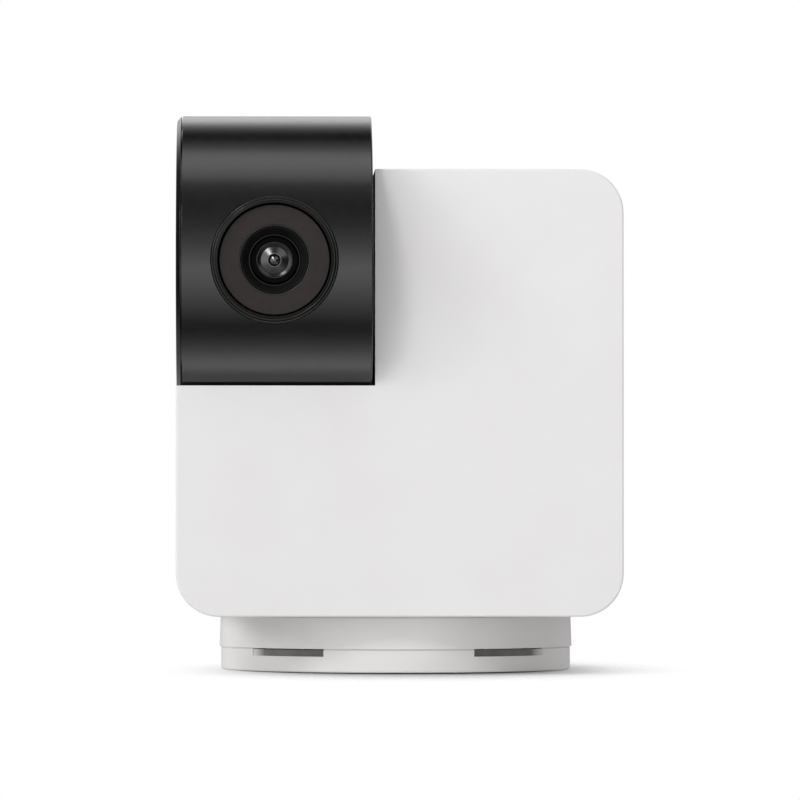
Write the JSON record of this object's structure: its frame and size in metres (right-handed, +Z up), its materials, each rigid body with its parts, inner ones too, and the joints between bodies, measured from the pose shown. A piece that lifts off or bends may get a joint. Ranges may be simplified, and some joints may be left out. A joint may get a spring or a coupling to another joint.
{
  "type": "pet camera",
  "caption": "Pan and tilt indoor pet camera: a rounded white housing turns on a round base, and a black barrel head with the lens tilts in its upper corner.",
  "frame": {"origin": "centre of the rubber pad's underside, on the pan axis, on the surface the camera stands on", "axes": "+Z up along the pan axis; -Y is the way the lens looks at rest; +X is to the right as seen from in front"},
  "size_m": [0.078, 0.0849, 0.0981],
  "materials": {
    "white_shell": "fine satin moulded ABS",
    "base_shell": "satin moulded ABS",
    "black_gloss": "gloss moulded polycarbonate",
    "black_trim": "satin black plastic",
    "matt_black": "matt black, glare free",
    "smoked_window": "smoked infrared window",
    "lens_glass": "coated glass",
    "foot_rubber": "matt silicone",
    "gear_plastic": "natural acetal",
    "bearing_plastic": "filled nylon",
    "motor_steel": "nickel-plated steel",
    "screw_steel": "zinc-plated",
    "plated_steel": "stamped plated steel",
    "circuit_board": "green solder mask",
    "chip_black": "moulded black epoxy",
    "led_resin": "tinted lamp resin"
  },
  "bodies": {
    "base": {"base_lower_shell": "base_shell", "base_upper_shell": "base_shell", "rubber_pad": "foot_rubber", "glide_ring": "bearing_plastic", "sun_gear": "gear_plastic", "post_nut": "plated_steel", "base_board": "circuit_board", "usb_c_socket": "plated_steel", "base_screw_1": "screw_steel", "base_screw_2": "screw_steel", "base_screw_3": "screw_steel"},
    "housing": {"front_shell": "white_shell", "rear_cover": "white_shell", "pan_bush": "bearing_plastic", "pan_motor": "motor_steel", "pan_motor_bracket": "bearing_plastic", "pan_motor_screw_1": "screw_steel", "pan_motor_screw_2": "screw_steel", "tilt_bush": "bearing_plastic", "tilt_motor": "motor_steel", "tilt_motor_bracket": "bearing_plastic", "tilt_motor_screw_1": "screw_steel", "tilt_motor_screw_2": "screw_steel", "main_board": "circuit_board", "board_screw_1": "screw_steel", "board_screw_2": "screw_steel", "shield_can": "plated_steel", "wifi_module": "chip_black", "tact_switch": "chip_black", "speaker": "chip_black", "rear_screw_1": "screw_steel", "rear_screw_2": "screw_steel", "rear_screw_3": "screw_steel", "rear_screw_4": "screw_steel"},
    "pan_pinion": {"pan_pinion": "gear_plastic"},
    "tilt_pinion": {"tilt_pinion": "gear_plastic"},
    "reset_button": {"reset_button": "white_shell", "switch_plunger": "chip_black"},
    "head": {"head_barrel": "black_gloss", "head_end_cap": "black_gloss", "tilt_hub": "bearing_plastic", "tilt_gear": "gear_plastic", "hub_clip": "plated_steel", "lens_bezel": "black_trim", "ir_window": "smoked_window", "lens_hood": "matt_black", "lens_barrel": "matt_black", "front_lens": "lens_glass", "lens_holder": "matt_black", "image_sensor": "chip_black", "sensor_board": "circuit_board", "sensor_screw_1": "screw_steel", "sensor_screw_2": "screw_steel", "optics_mount": "matt_black", "led_board": "circuit_board", "ir_led_1": "led_resin", "ir_led_2": "led_resin", "ir_led_3": "led_resin", "ir_led_4": "led_resin"}
  },
  "joints": [
    {"name": "pan", "type": "hinge", "parent": "base", "child": "housing", "pos_m": [0, 0, 0.0101], "axis": [0, 0, 1], "range_deg": [-170, 170]},
    {"name": "tilt", "type": "hinge", "parent": "housing", "child": "head", "pos_m": [0, -0.0214, 0.0719], "axis": [-1, 0, 0], "range_deg": [-25, 80]},
    {"name": "pan_pinion_spin", "type": "hinge", "parent": "housing", "child": "pan_pinion", "pos_m": [0.0224, 0, 0.015], "axis": [0, 0, 1], "range_deg": [-430, 430]},
    {"name": "tilt_pinion_spin", "type": "hinge", "parent": "housing", "child": "tilt_pinion", "pos_m": [0, -0.00911, 0.0633], "axis": [-1, 0, 0], "range_deg": [-210, 70]},
    {"name": "reset_press", "type": "slide", "parent": "housing", "child": "reset_button", "axis": [0, -1, 0], "range_m": [0, 0.0004], "stiffness_N_per_m": 500, "springref_m": -0.0004}
  ],
  "couplings": [
    {"joint": "pan_pinion_spin", "follows": "pan", "ratio": 2.5},
    {"joint": "tilt_pinion_spin", "follows": "tilt", "ratio": -2.5714}
  ]
}
